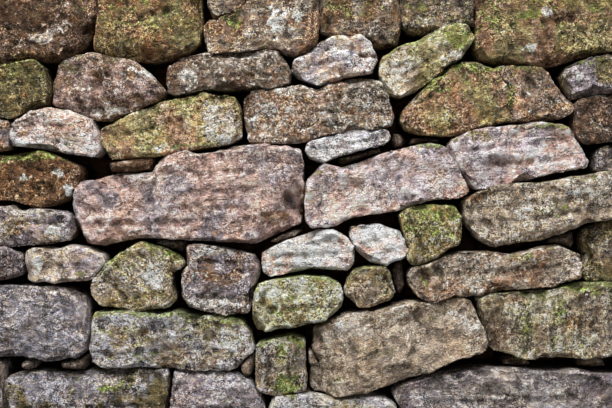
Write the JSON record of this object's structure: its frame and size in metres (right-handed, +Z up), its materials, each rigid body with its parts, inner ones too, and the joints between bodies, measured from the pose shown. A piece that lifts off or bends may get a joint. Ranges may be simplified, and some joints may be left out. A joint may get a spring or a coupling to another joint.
{
  "type": "dry stone wall",
  "caption": "Free-standing dry stone wall of rough weathered sandstone, laid in courses without mortar, with tied ends and flat cap stones.",
  "frame": {"origin": "middle of the wall's footprint, on the ground", "axes": "+X along the wall, +Y through it from the seen face to the far face, +Z up"},
  "size_m": [2.2798, 0.631, 1.2963],
  "materials": {
    "stone": "rough",
    "stone_grey": "rough",
    "packing": "rough"
  },
  "bodies": {
    "root": {"front_footing": "stone_grey", "front_course_2": "stone", "front_course_3": "stone", "front_course_4": "stone", "front_course_5": "stone", "front_course_6": "stone", "front_course_7": "stone", "front_course_8": "stone", "front_course_9": "stone", "front_pinnings": "stone", "front_chocks": "packing", "back_footing": "stone_grey", "back_course_2": "stone", "back_course_3": "stone", "back_course_4": "stone", "back_course_5": "stone", "back_course_6": "stone", "back_course_7": "stone", "back_course_8": "stone", "back_course_9": "stone", "back_pinnings": "stone", "back_chocks": "packing", "left_end_ties": "stone", "left_end_front": "stone", "left_end_back": "stone", "right_end_ties": "stone", "right_end_front": "stone", "right_end_back": "stone", "hearting": "packing", "cap_stones": "stone"}
  },
  "joints": []
}
